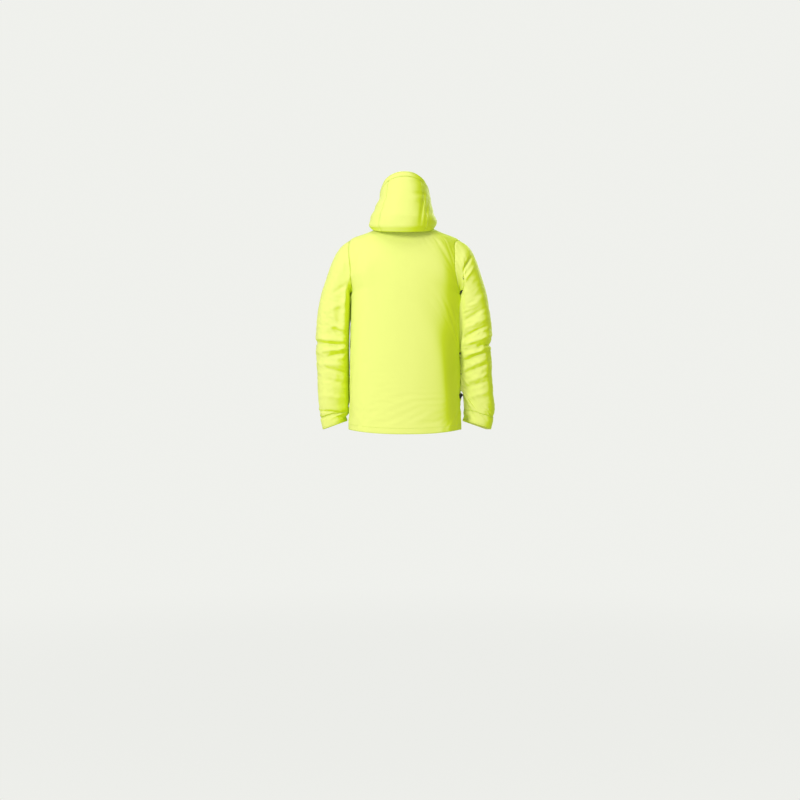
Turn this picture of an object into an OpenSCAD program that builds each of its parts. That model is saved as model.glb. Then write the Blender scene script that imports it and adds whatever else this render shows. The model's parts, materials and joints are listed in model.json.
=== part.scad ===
// Ski jacket shell: sewn panels, lined, with a stand-up collar, a hood and moulded-tooth zips.
// The back of the neck is the origin. Z is up, the front faces -Y, and +X is the wearer's left.
// The body and the collar share one grid of rows and columns, so seams meet edge to edge.

/* [Body] */
// Height from the back of the neck to the back hem
body_len = 756; // [700:1:820]
// Width across the hem
hem_w = 402; // [380:1:480]
// Width across the chest under the arms
chest_w = 394; // [370:1:470]
// Width from shoulder tip to shoulder tip
shoulder_w = 400; // [380:1:480]
// Width of the neck opening
neck_w = 176; // [160:1:200]
// How far the back of the hem stands behind the neck
back_depth = 57; // [50:1:90]
// How far the front of the hem stands before the neck
front_depth = 240; // [220:1:300]
// How far the top of the collar stands before the neck
chin_depth = 170; // [160:1:200]
// Height of the collar at the back
collar_h = 53; // [40:1:70]
// Depth of the armhole from the shoulder tip
armhole_h = 173; // [160:1:210]

/* [Sleeves] */
// Half of the whole width at the elbows
sleeve_out = 301; // [295:1:360]
// Height of the cuff edge below the neck, on the outside
cuff_drop = 742; // [680:1:800]
// Front to back size of the upper sleeve
arm_depth = 162; // [140:1:180]
// Front to back size of the cuff
cuff_depth = 104; // [90:1:120]
// How far the cuffs hang before the armholes
arm_swing = 53; // [20:1:70]

/* [Hood] */
// Height of the brim above the neck
hood_h = 157; // [130:1:190]
// Width of the hood near its lower edge
hood_w = 240; // [236:1:270]
// How far the lower edge hangs below the neck
hood_drop = 56; // [44:1:60]
// How far the hood stands behind the neck
hood_back = 92; // [86:1:110]

/* [Cloth] */
// Thickness of the outer cloth
cloth_t = 2; // [1.6:0.1:2.6]
// Thickness of the linings
lining_t = 1.5; // [1:0.1:2]
// Distance from the outer face to the lining in the body
lining_in = 8; // [7:0.5:12]

/* [Zips] */
// Distance from one tooth to the next on one side
tooth_pitch = 4.2; // [3.8:0.1:5]
// Thickness of a moulded tooth
tooth_t = 2.6; // [2.2:0.1:3]
// Length of a hand-pocket zip
hand_zip_len = 170; // [150:1:190]
// Length of the chest-pocket zip
chest_zip_len = 130; // [110:1:140]
// Length of a zip pull
pull_len = 36; // [28:1:44]

/* [Hidden] */
gap = 0.3;
cloth = [0.78, 0.88, 0.05];
cloth_in = [0.16, 0.17, 0.19];
trim = [0.09, 0.09, 0.1];
metal = [0.55, 0.56, 0.58];
cols = 48;
side_l = 12;
mid_back = 24;
side_r = 36;
arm_half = 3;
row_arm = 5;
row_tip = 11;
row_neck = 15;
row_top = 18;
hem_side_z = 15 - body_len;
hem_front_z = 21 - body_len;
tip_z = -82;
arm_z = tip_z - armhole_h;
neck_side_z = -25;
neck_front_z = -75;
top_front_z = -15;
round_body = 2.4;
arm_sweep = 16;
arm_bulge = 20;

// The front edge is one straight line in the middle plane, so that the zip runs straight.
zip_len = sqrt(pow(front_depth - chin_depth, 2) + pow(top_front_z - hem_front_z, 2));
zip_lean = atan((front_depth - chin_depth) / (top_front_z - hem_front_z));
zip_half = 9;
function front_y(z) = -front_depth + (z - hem_front_z) * tan(zip_lean);

function mix(a, b, t) = a + (b - a) * t;
function clip(t) = min(max(t, 0), 1);
function signed_pow(c, e) = sign(c) * pow(abs(c), e);
function arm_t(j) = clip((j - row_arm) / (row_tip - row_arm));
function top_t(j) = clip((j - row_tip) / (row_neck - row_tip));
function collar_t(j) = clip((j - row_neck) / (row_top - row_neck));
// Share of the way from the hem (0) to the armhole (1), with a narrow first row for the hem seam
function low_t(j) = j < 1 ? 0.04 * j : clip(mix(0.04, 1, (j - 1) / (row_arm - 1)));

// Heights of one row at the side, at the back and at the front
function side_z(j) = j <= row_arm ? mix(hem_side_z, arm_z, low_t(j))
    : j <= row_tip ? mix(arm_z, tip_z, arm_t(j))
    : j <= row_neck ? mix(tip_z, neck_side_z, top_t(j)) : mix(neck_side_z, 30, collar_t(j));
function back_z(j) = j <= row_arm ? mix(-body_len, arm_z + 20, low_t(j))
    : j <= row_tip ? mix(arm_z + 20, tip_z - 10, arm_t(j))
    : j <= row_neck ? mix(tip_z - 10, -8, top_t(j)) : mix(-8, collar_h - 8, collar_t(j));
function front_z(j) = j <= row_arm ? mix(hem_front_z, arm_z - 35, low_t(j))
    : j <= row_tip ? mix(arm_z - 35, tip_z - 83, arm_t(j))
    : j <= row_neck ? mix(tip_z - 83, neck_front_z, top_t(j))
    : mix(neck_front_z, top_front_z, collar_t(j));

// Half width and back face of one row
function half_w(j) = j <= row_arm ? mix(hem_w, chest_w, low_t(j)) / 2
    : j <= row_tip ? mix(chest_w, shoulder_w, arm_t(j)) / 2 + 29 * sin(180 * arm_t(j))
    : j <= row_neck ? mix(shoulder_w, neck_w, top_t(j)) / 2 : mix(neck_w, neck_w - 6, collar_t(j)) / 2;
function back_y(j) = j <= row_arm ? mix(back_depth, back_depth + 3, low_t(j))
    : j <= row_tip ? mix(back_depth + 3, 44, arm_t(j)) + 4 * sin(180 * arm_t(j))
    : j <= row_neck ? mix(44, 8, top_t(j)) + 3 * sin(180 * top_t(j)) : mix(8, 10, collar_t(j));
function sweep(j) = arm_sweep + arm_bulge * pow(sin(180 * arm_t(j)), 0.8);

// Direction of column i on row j, from the left front edge round the back to the right one
function turn_at(i, j) = i <= side_l - arm_half ? mix(-90, -sweep(j), i / (side_l - arm_half))
    : i <= side_l + arm_half ? sweep(j) * (i - side_l) / arm_half
    : mix(sweep(j), 90, (i - side_l - arm_half) / (mid_back - side_l - arm_half));
function drop_in(j) = j <= 7 ? 0 : j <= row_tip ? (j - 7) / 5 : j < row_neck ? 0.9 : j == row_neck ? 0.5 : 0;

function half_point(i, j, off) = let (
        th = turn_at(i, j),
        zf = front_z(j),
        s = sin(th),
        z = side_z(j) + (s > 0 ? back_z(j) - side_z(j) : zf - side_z(j)) * s * s,
        yf = front_y(zf) + off,
        yb = back_y(j) - off,
        a = half_w(j) - off,
        x = max(a * signed_pow(max(cos(th), 0), 2 / round_body), 0),
        y = (yb + yf) / 2 + (yb - yf) / 2 * signed_pow(s, 2 / round_body)
    ) [i < 0.5 ? zip_half : max(x, i > 20 ? 0 : zip_half), y, z - off * drop_in(j)];
function body_point(i, j, off) = i <= mid_back ? half_point(i, j, off)
    : let (p = half_point(cols - i, j, off)) [-p[0], p[1], p[2]];

// Solid of the grid cells that keep(i, j) picks, between an outer and an inner set of points
module grid_solid(nc, nr, outer, inner, keep, wrap = false) {
    n = (nc + 1) * (nr + 1);
    at = function (i, j) j * (nc + 1) + (wrap ? i % nc : i);
    on = function (i, j) j >= 0 && j < nr && (wrap || (i >= 0 && i < nc))
        && keep(wrap ? (i + nc) % nc : i, j);
    wall = function (p, q) [[p, q, q + n], [p, q + n, p + n]];
    cells = [for (j = [0:nr - 1]) for (i = [0:nc - 1]) if (on(i, j)) [i, j]];
    faces = [for (c = cells) let (
            i = c[0], j = c[1],
            p = at(i, j), q = at(i + 1, j), r = at(i + 1, j + 1), s = at(i, j + 1)
        ) each concat(
            [[p, r, q], [p, s, r], [p + n, q + n, r + n], [p + n, r + n, s + n]],
            on(i, j - 1) ? [] : wall(p, q),
            on(i + 1, j) ? [] : wall(q, r),
            on(i, j + 1) ? [] : wall(r, s),
            on(i - 1, j) ? [] : wall(s, p))];
    polyhedron(points = concat(outer, inner), faces = faces);
}

function body_grid(off) = [for (j = [0:row_top]) for (i = [0:cols])
    body_point(i, j, off(j))];
in_armhole = function (i, j) j >= row_arm && j < row_tip
    && (abs(i + 0.5 - side_l) < arm_half || abs(i + 0.5 - side_r) < arm_half);

module body_cells(keep, from = function (j) 0, to = function (j) cloth_t) {
    grid_solid(cols, row_top, body_grid(from), body_grid(to),
        function (i, j) keep(i, j) && !in_armhole(i, j));
}

module back_panel() {
    color(cloth) body_cells(function (i, j) j < row_neck && i >= side_l && i < side_r);
}

module front_panel_left() {
    color(cloth) body_cells(function (i, j) j < row_neck && i < side_l);
}

module front_panel_right() {
    color(cloth) body_cells(function (i, j) j < row_neck && i >= side_r);
}

module collar_shell() {
    color(cloth) body_cells(function (i, j) j >= row_neck);
}

// The linings hang inside the outer cloth and stop short of the front zip.
lining_out = function (j) j <= row_tip ? lining_in : mix(lining_in, cloth_t + 1, clip((j - row_tip) / 3));
lining_inn = function (j) lining_out(j) + lining_t;

module body_lining() {
    color(cloth_in) body_cells(function (i, j) j >= 1 && j < row_neck && i >= 1 && i < cols - 1,
        lining_out, lining_inn);
}

module collar_lining() {
    color(cloth_in) body_cells(function (i, j) j >= row_neck && i >= 1 && i < cols - 1,
        lining_out, lining_inn);
}

module hem_facing() {
    color(cloth) body_cells(function (i, j) j < 1 && i >= 1 && i < cols - 1,
        function (j) cloth_t + 0.5, function (j) cloth_t + 2);
}

// Powder skirt: a stretch ring that hangs inside the lining and closes with snaps in front.
skirt_top = 2.9;
skirt_rows = 4;
skirt_out = 11;
skirt_end = 26;
skirt_gap = 1;
function skirt_row(j) = mix(1.3, skirt_top, j / skirt_rows);
function skirt_off(j) = mix(skirt_end, skirt_out, pow(j / skirt_rows, 1.4));
function skirt_grid(off) = [for (j = [0:skirt_rows]) for (i = [0:cols])
    body_point(i, skirt_row(j), skirt_off(j) + off)];

module powder_skirt() {
    color(cloth_in) grid_solid(cols, skirt_rows, skirt_grid(0), skirt_grid(1.2),
        function (i, j) j >= 1 && i >= skirt_gap && i < cols - skirt_gap);
}

module skirt_grip_band() {
    color(trim) grid_solid(cols, skirt_rows, skirt_grid(0), skirt_grid(2),
        function (i, j) j < 1 && i >= skirt_gap && i < cols - skirt_gap);
}

// Snaps sit on the inner face of the skirt's front edges.
snap_r = 6;
snap_t = 2;

module skirt_snap_set() {
    for (side = [1, -1]) for (k = [1.6, 2.6]) {
        p = body_point(skirt_gap + 0.6, skirt_row(k), skirt_off(k) + 2.4);
        translate([side * p[0], p[1], p[2]]) rotate([-90, 0, 0]) {
            cylinder(r = snap_r, h = snap_t, $fn = 40);
            translate([0, 0, snap_t]) cylinder(r = snap_r / 2, h = 1.5, $fn = 32);
        }
    }
}

module skirt_snaps() {
    color(metal) skirt_snap_set();
}

// Sleeves: rings that turn from the armhole plane to level, then run down to the cuff.
ring_n = 24;
elbow_row = 8;
cuff_row = 11;
last_row = 13;
cuff_share = 0.93;
round_sleeve = 2.2;
function sleeve_t(r) = r <= cuff_row ? cuff_share * pow(r / cuff_row, 1.5)
    : mix(cuff_share, 1, (r - cuff_row) / (last_row - cuff_row));
function ring_outer(f) = [shoulder_w / 2 + (sleeve_out - shoulder_w / 2) * pow(min(f / 0.43, 1), 0.42)
    - 10 * pow(clip((f - 0.8) / 0.2), 1.6), mix(tip_z, -cuff_drop, f)];
function ring_inner(f) = [hem_w / 2 + mix(-1, 5, pow(f, 0.5)), mix(arm_z, 30 - cuff_drop, pow(f, 1.55)) - 8 * clip(f * 12) * (1 - f)];
function ring_depth(f) = mix(arm_depth, cuff_depth, pow(f, 1.6)) / 2;
function ring_y(f) = -70 - arm_swing * pow(f, 1.8);

// Point of the sleeve at share f of its length; phi 0 is the inner side, 90 the back
function sleeve_point(f, phi, off) = let (
        po = ring_outer(f), pi2 = ring_inner(f),
        h = norm(po - pi2) / 2, e = (po - pi2) / (2 * h), c = (po + pi2) / 2,
        u = -(h - off) * signed_pow(cos(phi), 2 / round_sleeve),
        v = (ring_depth(f) - off) * signed_pow(sin(phi), 2 / round_sleeve)
    ) [c[0] + e[0] * u, ring_y(f) + v, c[1] + e[1] * u];

// Ring 0 is the armhole's own edge, walked from the underarm round the back
function armhole_point(k, off) = k <= arm_half ? body_point(side_l + k, row_arm, off)
    : k <= 9 ? body_point(side_l + arm_half, row_arm + k - arm_half, off)
    : k <= 15 ? body_point(side_l + 12 - k, row_tip, off)
    : k <= 21 ? body_point(side_l - arm_half, row_tip + 15 - k, off)
    : body_point(side_l + k - 24, row_arm, off);
function sleeve_ring(r, off) = [for (k = [0:ring_n]) r == 0 ? armhole_point(k % ring_n, off)
    : sleeve_point(sleeve_t(r), 360 * k / ring_n, off)];
function sleeve_grid(r0, r1, off) = [for (r = [r0:r1]) each sleeve_ring(r, off)];

module sleeve_cells(r0, r1, from, to) {
    grid_solid(ring_n, r1 - r0, sleeve_grid(r0, r1, from), sleeve_grid(r0, r1, to),
        function (i, j) true, wrap = true);
}

module mirrored() {
    mirror([1, 0, 0]) children();
}

module sleeve_upper_left() {
    color(cloth) sleeve_cells(0, elbow_row, 0, cloth_t);
}

module sleeve_upper_right() {
    color(cloth) mirrored() sleeve_cells(0, elbow_row, 0, cloth_t);
}

module forearm_left() {
    color(cloth) sleeve_cells(elbow_row, cuff_row, 0, cloth_t);
}

module forearm_right() {
    color(cloth) mirrored() sleeve_cells(elbow_row, cuff_row, 0, cloth_t);
}

module cuff_left() {
    color(cloth) sleeve_cells(cuff_row, last_row, 0, cloth_t + 0.6);
}

module cuff_right() {
    color(cloth) mirrored() sleeve_cells(cuff_row, last_row, 0, cloth_t + 0.6);
}

module sleeve_lining_left() {
    color(cloth_in) sleeve_cells(0, cuff_row, lining_in, lining_in + lining_t);
}

module sleeve_lining_right() {
    color(cloth_in) mirrored() sleeve_cells(0, cuff_row, lining_in, lining_in + lining_t);
}

// Cuff tab: a strap over the front of the cuff, hinged at its outer end.
tab_from = 0.945;
tab_to = 0.985;
tab_root = 190;
tab_tip = 295;
loop_from = 245;
loop_to = 315;
tab_n = 12;
function strap_grid(f0, f1, a0, a1, n, off) = [for (j = [0:2]) for (i = [0:n])
    sleeve_point(mix(f0, f1, j / 2), mix(a0, a1, i / n), off)];

module cuff_strap() {
    grid_solid(tab_n, 2, strap_grid(tab_to, tab_from, tab_root, tab_tip, tab_n, -3.6),
        strap_grid(tab_to, tab_from, tab_root, tab_tip, tab_n, -1.8), function (i, j) true);
}

module cuff_loop() {
    grid_solid(8, 2, strap_grid(tab_to, tab_from, loop_from, loop_to, 8, -1.2),
        strap_grid(tab_to, tab_from, loop_from, loop_to, 8, -gap / 3), function (i, j) true);
}

module cuff_tab_left() {
    color(cloth) cuff_strap();
}

module cuff_tab_right() {
    color(cloth) mirrored() cuff_strap();
}

module cuff_loop_patches() {
    color(cloth_in) {
        cuff_loop();
        mirrored() cuff_loop();
    }
}

// Hood: a bag of cloth that stands round the back of the neck, its brim uppermost.
hood_cols = 32;
hood_rows = 9;
brim_row = 8;
hood_y = -30;
hood_end = 25;
hood_panel = 10;
hood_taper = 32;
function hood_dir(i) = mix(-hood_end, 180 + hood_end, i / hood_cols);
function ease(t) = clip(t) * clip(t) * (3 - 2 * clip(t));
function hood_w_at(z) = hood_w / 2 - hood_taper * (1 - ease((80 - z) / 95));
function hood_y_at(z) = z < 0 ? mix(hood_back - 6, hood_back, clip((z + hood_drop) / hood_drop))
    : mix(hood_back, hood_back - 30, pow(clip(z / hood_h), 1.3));
function brim_z(s) = mix(5, hood_h, pow(clip((s + 0.42) / 1.42), 0.6));
function low_z(s) = mix(-28, -hood_drop, pow(max(s, 0), 0.5));
// Rows: 0 is the tucked-in lower edge, 1 the lowest fold, 9 the brim edge
function hood_share(j) = j <= 1 ? 0 : j < brim_row ? mix(0.07, 0.92, (j - 2) / 6) : mix(0.92, 1, j - 8);
function hood_tuck(j) = j <= 1 ? mix(30, 9, j) : j <= 2 ? 1.5 * (3 - j) : 0;
function hood_point(i, j, off) = let (
        th = hood_dir(i), s = sin(th),
        z = mix(low_z(s), brim_z(s), hood_share(j)) + (j < 1 ? 6 * (1 - j) : 0),
        t = hood_tuck(j) + off,
        b = hood_y_at(z) - hood_y - t,
        a = hood_w_at(z) - off * 0.8 - hood_tuck(j) * 0.45
    ) [a * signed_pow(cos(th), 0.9), hood_y + b * signed_pow(s, 0.95), z + (j <= 1 ? off : 0)];
function hood_grid(off) = [for (j = [0:hood_rows]) for (i = [0:hood_cols]) hood_point(i, j, off)];

module hood_cells(from, to, keep) {
    grid_solid(hood_cols, hood_rows, hood_grid(from), hood_grid(to), keep);
}

module hood_centre_panel() {
    color(cloth) hood_cells(0, cloth_t,
        function (i, j) j < brim_row && i >= hood_panel && i < hood_cols - hood_panel);
}

module hood_side_left() {
    color(cloth) hood_cells(0, cloth_t, function (i, j) j < brim_row && i < hood_panel);
}

module hood_side_right() {
    color(cloth) hood_cells(0, cloth_t,
        function (i, j) j < brim_row && i >= hood_cols - hood_panel);
}

module hood_brim() {
    color(cloth) hood_cells(0, cloth_t, function (i, j) j >= brim_row);
}

module hood_lining() {
    color(cloth_in) hood_cells(cloth_t + 1, cloth_t + 1 + lining_t, function (i, j) j < brim_row && j > 0);
}

// Places children in the front zip's frame: x across, y inwards, z up the zip from the hem
module at_front_zip() {
    translate([0, -front_depth, hem_front_z]) rotate([-zip_lean, 0, 0]) children();
}

tape_y = cloth_t + 2 * gap;
tape_t = 0.8;
tape_w = 6;
tooth_y = tape_y + tape_t / 2;
tooth_base_x = 2.2;
tooth_out_x = 4.2;
knob_r = 1.1;
box_h = 14;
teeth_n = floor((zip_len - box_h - 12) / tooth_pitch);

module zip_tooth() {
    translate([tooth_base_x, -tooth_t / 2, -1.2]) cube([tooth_out_x - tooth_base_x, tooth_t, 2.4]);
    translate([-0.6, -tooth_t / 2, -0.7]) cube([tooth_base_x + 0.7, tooth_t, 1.4]);
    translate([-0.6, tooth_t / 2, 0]) rotate([90, 0, 0]) cylinder(r = knob_r, h = tooth_t, $fn = 24);
}

module front_zip_teeth() {
    color(trim) at_front_zip() for (k = [0:teeth_n - 1]) {
        translate([0, tooth_y, box_h + 3 + k * tooth_pitch]) zip_tooth();
        translate([0, tooth_y, box_h + 3 + (k + 0.5) * tooth_pitch]) mirror([1, 0, 0]) zip_tooth();
    }
}

module front_zip_tapes() {
    color(trim) at_front_zip() for (side = [0, 1]) mirror([side, 0, 0])
        translate([tooth_out_x, tape_y, 2]) cube([tape_w, tape_t, zip_len - 6]);
}

// Retainer box and the pin that slides into it, at the foot of the zip
module front_zip_box() {
    color(trim) at_front_zip() {
        translate([-4, tooth_y - 2.3, 2]) difference() {
            cube([8, 4.6, box_h - 3]);
            translate([4.6, 1, 2.5]) cube([2.2, 2.6, box_h]);
        }
        translate([0.9, tooth_y - 1, 5]) cube([1.4, 2, box_h - 5.5]);
    }
}

// Slider: front and rear plates with side flanges that leave room for the tape
slider_h = 17;
slider_w = 14.4;
plate_t = 2;
plate_y = tooth_y - tooth_t / 2 - gap - plate_t;
rear_y = tooth_y + tooth_t / 2 + gap;

module slider_bail(y) {
    translate([-1.5, y - 4.3, 6]) difference() {
        cube([3, 4.6, 7]);
        translate([-1, 0.9, 1.6]) cube([5, 2.6, 3.8]);
    }
}

module front_slider_shape() {
    translate([-slider_w / 2, plate_y, 0]) cube([slider_w, plate_t, slider_h]);
    translate([-slider_w / 2, rear_y, 0]) cube([slider_w, 1.5, slider_h]);
    for (side = [0, 1]) mirror([side, 0, 0]) {
        translate([slider_w / 2 - 1.6, plate_y + plate_t, 0])
            cube([1.6, tape_y - gap - plate_y - plate_t, slider_h]);
        translate([slider_w / 2 - 1.6, tape_y + tape_t + gap, 0])
            cube([1.6, rear_y - tape_y - tape_t - gap, slider_h]);
    }
    slider_bail(plate_y);
}

// Pull: a bar through the bail, two arms, and a moulded grip with raised ribs
pin_y = 2.1;
pin_z = 9.5;

module pull_shape(grip) {
    translate([-4.2, 0, 0]) rotate([0, 90, 0]) cylinder(r = 0.8, h = 8.4, $fn = 24);
    for (x = [-4.2, 2.2]) translate([x, -0.8, -14]) cube([2, 1.6, 14]);
    translate([-5.5, -1.1, -14 - grip]) cube([11, 2, grip]);
    for (k = [1:4]) translate([-4.5, -1.7, -14 - grip * k / 5]) cube([9, 0.7, 1.4]);
}

rest_z = zip_len - slider_h - 8;

module front_zip_slider() {
    color(metal) at_front_zip() translate([0, 0, rest_z]) front_slider_shape();
}

module front_zip_pull() {
    color(trim) at_front_zip() translate([0, plate_y - pin_y, rest_z + pin_z]) pull_shape(pull_len - 14);
}

// Wind flap behind the zip, and the chin guard at its top
flap_y = rear_y + 1.5 + 0.9;
flap_half = 14;

module wind_flap() {
    color(cloth) at_front_zip() translate([-flap_half, flap_y, 24]) cube([2 * flap_half, 1.4, zip_len - 68]);
}

module chin_guard() {
    color(trim) at_front_zip() translate([-13, flap_y, zip_len - 42]) {
        translate([0, 0, 5]) cube([26, 1.4, 34]);
        translate([5, 0, 0]) cube([16, 1.4, 39]);
        for (x = [5, 21]) for (z = [5, 34]) if (z == 5)
            translate([x, 1.4, z]) rotate([90, 0, 0]) cylinder(r = 5, h = 1.4, $fn = 32);
    }
}

// Pocket zips lie on the outer cloth along one straight column of the front panels.
function unit(v) = v / norm(v);
function surface_frame(i, j) = let (
        z = unit(body_point(i, j + 0.2, 0) - body_point(i, j, 0)),
        t = unit(body_point(i + 0.2, j, 0) - body_point(i - 0.2, j, 0)),
        n = unit(cross(z, t)), x = cross(n, z), o = body_point(i, j, 0)
    ) [[x[0], n[0], z[0], o[0]], [x[1], n[1], z[1], o[1]], [x[2], n[2], z[2], o[2]], [0, 0, 0, 1]];
coil_r = 0.75;
coil_y = -(gap + tape_t + coil_r);
pocket_tape_w = 20;

module pocket_tape(len) {
    translate([-pocket_tape_w / 2, -gap - tape_t, 0]) cube([pocket_tape_w, tape_t, len]);
    for (x = [-0.95, 0.95]) translate([x, coil_y, 3]) cylinder(r = coil_r, h = len - 6, $fn = 24);
    for (z = [0, len - 2.4]) translate([-3, coil_y - coil_r, z]) cube([6, 2 * coil_r, 2.4]);
}

pocket_plate_y = coil_y - coil_r - gap - 1.4;

module pocket_slider() {
    translate([-5, pocket_plate_y, 0]) cube([10, 1.4, 13]);
    for (side = [0, 1]) mirror([side, 0, 0]) translate([3.4, pocket_plate_y + 1.4, 0])
        cube([1.6, coil_r * 2 + gap - 0.2, 13]);
    translate([0, 0, -2]) slider_bail(pocket_plate_y);
}

hand_col = 4.5;
hand_row = 2.05;
chest_col = 3;
chest_row = 3.75;
pocket_rest = 17;

module at_hand() {
    multmatrix(surface_frame(hand_col, hand_row)) children();
}

module at_chest() {
    multmatrix(surface_frame(chest_col, chest_row)) children();
}

module hand_zip() {
    pocket_tape(hand_zip_len);
}

module hand_zip_left() {
    color(trim) at_hand() hand_zip();
}

module hand_zip_right() {
    color(trim) mirrored() at_hand() hand_zip();
}

module hand_slider_left() {
    color(metal) at_hand() translate([0, 0, hand_zip_len - pocket_rest]) pocket_slider();
}

module hand_slider_right() {
    color(metal) mirrored() at_hand() translate([0, 0, hand_zip_len - pocket_rest]) pocket_slider();
}

module hand_pull() {
    at_hand() translate([0, pocket_plate_y - pin_y, hand_zip_len - pocket_rest + pin_z - 2])
        pull_shape(pull_len - 18);
}

module hand_pull_left() {
    color(trim) hand_pull();
}

module hand_pull_right() {
    color(trim) mirrored() hand_pull();
}

module chest_zip() {
    color(trim) at_chest() pocket_tape(chest_zip_len);
}

module chest_slider() {
    color(metal) at_chest() translate([0, 0, chest_zip_len - pocket_rest]) pocket_slider();
}

module chest_pull() {
    color(trim) at_chest() translate([0, pocket_plate_y - pin_y, chest_zip_len - pocket_rest + pin_z - 2])
        pull_shape(pull_len - 18);
}

// Pocket bags hang flat between the outer cloth and the lining.
function bag_grid(i0, i1, j0, j1, off) = [for (j = [0:4]) for (i = [0:8])
    body_point(mix(i0, i1, i / 8), mix(j0, j1, j / 4), off)];

module pocket_bag(i0, i1, j0, j1) {
    grid_solid(8, 4, bag_grid(i0, i1, j0, j1, cloth_t + 1.2), bag_grid(i0, i1, j0, j1, lining_in - 1.4),
        function (i, j) true);
}

module hand_bag_left() {
    color(cloth_in) pocket_bag(2.6, 6.6, 1.4, 3.4);
}

module hand_bag_right() {
    color(cloth_in) mirrored() pocket_bag(2.6, 6.6, 1.4, 3.4);
}

module chest_bag() {
    color(cloth_in) pocket_bag(2.6, 6, 3.6, 4.9);
}

// Hanger loop inside the back of the neck: a bowed strip of tape
loop_half = 26;
loop_bow = 9;
loop_tape = 1.4;
loop_h = 7;
loop_r = (loop_half * loop_half + loop_bow * loop_bow) / (2 * loop_bow);
loop_root_y = 10 - lining_t - cloth_t - 1 - 4.6;

module hanger_loop() {
    color(trim) translate([0, loop_root_y, -loop_h / 2]) intersection() {
        translate([0, loop_r - loop_bow, 0]) difference() {
            cylinder(r = loop_r, h = loop_h, $fn = 96);
            translate([0, 0, -1]) cylinder(r = loop_r - loop_tape, h = loop_h + 2, $fn = 96);
        }
        translate([-40, -loop_bow - 1, -1]) cube([80, loop_bow + 1, loop_h + 2]);
    }
}

// Hem cord locks: a barrel fixed inside the hem, with a sprung button on top
lock_r = 7;
lock_col = 7;
lock_h = 16;
function lock_spot() = body_point(lock_col, 0.6, lining_in + 6 + lock_r);

module lock_barrel() {
    translate(lock_spot()) {
        difference() {
            cylinder(r = lock_r, h = lock_h, $fn = 48);
            translate([0, 0, lock_h - 7]) cylinder(r = lock_r - 1.6, h = 8, $fn = 40);
        }
        rotate([0, 0, atan2(lock_spot()[1] + 90, lock_spot()[0]) - 90]) translate([-3, 4, 0])
            cube([6, 12, 3]);
    }
}

module lock_button() {
    translate(lock_spot()) translate([0, 0, lock_h - 3]) {
        cylinder(r = lock_r - 2, h = 6, $fn = 40);
        translate([0, 0, 6]) cylinder(r = lock_r - 3, h = 1, $fn = 40);
    }
}

module hem_lock_left() {
    color(trim) lock_barrel();
}

module hem_lock_right() {
    color(trim) mirrored() lock_barrel();
}

module hem_button_left() {
    color(metal) lock_button();
}

module hem_button_right() {
    color(metal) mirrored() lock_button();
}

back_panel();
front_panel_left();
front_panel_right();
collar_shell();
body_lining();
collar_lining();
hem_facing();
powder_skirt();
skirt_grip_band();
skirt_snaps();
sleeve_upper_left();
sleeve_upper_right();
forearm_left();
forearm_right();
cuff_left();
cuff_right();
sleeve_lining_left();
sleeve_lining_right();
cuff_tab_left();
cuff_tab_right();
cuff_loop_patches();
hood_centre_panel();
hood_side_left();
hood_side_right();
hood_brim();
hood_lining();
front_zip_teeth();
front_zip_tapes();
front_zip_box();
front_zip_slider();
front_zip_pull();
wind_flap();
chin_guard();
hand_zip_left();
hand_zip_right();
hand_slider_left();
hand_slider_right();
hand_pull_left();
hand_pull_right();
chest_zip();
chest_slider();
chest_pull();
hand_bag_left();
hand_bag_right();
chest_bag();
hanger_loop();
hem_lock_left();
hem_lock_right();
hem_button_left();
hem_button_right();
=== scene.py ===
# %% [markdown]
# # A ski jacket in fluorescent shell cloth
# The jacket is sewn from a few large panels of stiff, thin, coated cloth. We make the cloth as one
# closed garment first, let a cloth simulation crease it over a body form, and only then cut it
# along its seams. Every panel keeps the folds that its neighbours share with it.

# %% Set up the frame
import bpy
import bmesh
import json
import math
import time
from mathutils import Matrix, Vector, noise
from mathutils.bvhtree import BVHTree


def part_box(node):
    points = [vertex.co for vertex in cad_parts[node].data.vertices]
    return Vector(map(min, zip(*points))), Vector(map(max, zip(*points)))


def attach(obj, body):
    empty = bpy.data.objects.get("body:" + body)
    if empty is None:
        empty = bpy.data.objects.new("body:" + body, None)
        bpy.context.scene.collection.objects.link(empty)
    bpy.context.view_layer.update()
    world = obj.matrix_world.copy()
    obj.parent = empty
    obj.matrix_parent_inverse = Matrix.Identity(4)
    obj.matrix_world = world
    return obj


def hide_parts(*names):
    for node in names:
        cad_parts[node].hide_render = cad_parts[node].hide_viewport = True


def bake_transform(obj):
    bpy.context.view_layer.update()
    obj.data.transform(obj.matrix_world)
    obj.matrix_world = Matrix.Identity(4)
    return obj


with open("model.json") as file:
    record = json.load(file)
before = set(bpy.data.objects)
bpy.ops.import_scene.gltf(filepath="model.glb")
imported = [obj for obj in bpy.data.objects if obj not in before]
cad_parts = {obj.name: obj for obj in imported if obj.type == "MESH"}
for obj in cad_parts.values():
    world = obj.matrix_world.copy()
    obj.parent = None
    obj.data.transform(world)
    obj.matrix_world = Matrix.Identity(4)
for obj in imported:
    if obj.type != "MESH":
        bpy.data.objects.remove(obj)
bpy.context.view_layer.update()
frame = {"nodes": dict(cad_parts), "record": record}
NODES = frame["nodes"]
MM = 0.001

# %% [markdown]
# ## The cut of the jacket
# A cutter describes a jacket by rows of girths and heights. The rows here run from the hem (0) past
# the underarm (5), the shoulder tip (11) and the neck seam (15) to the collar's edge (18), and the
# columns run round the body from one front edge to the other (0 to 48, with 24 at the middle of
# the back). Driving sizes come from the CAD nodes' own boxes, so the cloth lies where the rigid
# parts expect it.

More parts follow.
